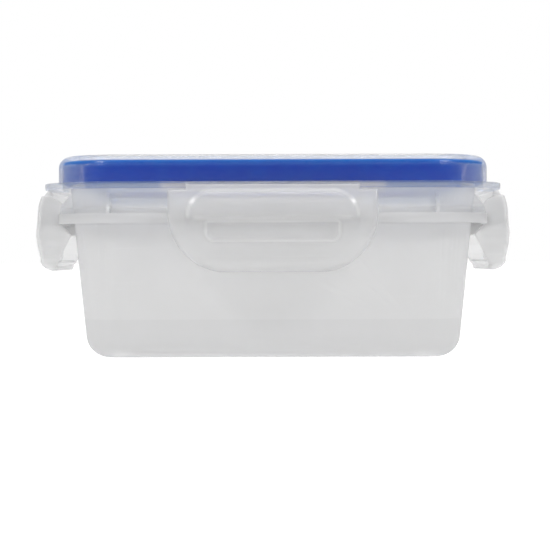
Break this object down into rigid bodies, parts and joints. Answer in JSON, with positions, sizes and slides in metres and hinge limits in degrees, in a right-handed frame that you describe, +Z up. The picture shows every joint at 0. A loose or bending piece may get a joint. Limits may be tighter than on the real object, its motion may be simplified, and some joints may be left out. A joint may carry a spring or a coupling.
{
  "type": "snap lid food container",
  "caption": "Low square food container of clear plastic, with a sealed lid held by a swinging snap latch on every side.",
  "frame": {"origin": "centre of the base, on the surface that the box stands on", "axes": "+Z up through the lid; -Y out through the front latch; +X out through the right latch"},
  "size_m": [0.1736, 0.1736, 0.07],
  "materials": {
    "box_polypropylene": "natural polypropylene, faintly milky, smooth outside",
    "lid_polypropylene": "natural polypropylene, polished, with a lavender tinge where it is thick",
    "seal_silicone": "satin blue silicone"
  },
  "bodies": {
    "container": {"container_box": "box_polypropylene"},
    "lid": {"lid_panel": "lid_polypropylene", "seal_ring": "seal_silicone", "film_hinge_right": "lid_polypropylene", "film_hinge_back": "lid_polypropylene", "film_hinge_left": "lid_polypropylene", "film_hinge_front": "lid_polypropylene"},
    "latch_right": {"latch_right": "lid_polypropylene"},
    "latch_back": {"latch_back": "lid_polypropylene"},
    "latch_left": {"latch_left": "lid_polypropylene"},
    "latch_front": {"latch_front": "lid_polypropylene"}
  },
  "joints": [
    {"name": "lid_lift", "type": "slide", "parent": "container", "child": "lid", "axis": [0, 0, 1], "range_m": [0, 0.126]},
    {"name": "latch_right_hinge", "type": "hinge", "parent": "lid", "child": "latch_right", "pos_m": [0.08203, 0, 0.0596], "axis": [0, -1, 0], "range_deg": [0, 135]},
    {"name": "latch_back_hinge", "type": "hinge", "parent": "lid", "child": "latch_back", "pos_m": [0, 0.08203, 0.0596], "axis": [1, 0, 0], "range_deg": [0, 135]},
    {"name": "latch_left_hinge", "type": "hinge", "parent": "lid", "child": "latch_left", "pos_m": [-0.08203, 0, 0.0596], "axis": [0, 1, 0], "range_deg": [0, 135]},
    {"name": "latch_front_hinge", "type": "hinge", "parent": "lid", "child": "latch_front", "pos_m": [0, -0.08203, 0.0596], "axis": [-1, 0, 0], "range_deg": [0, 135]}
  ]
}
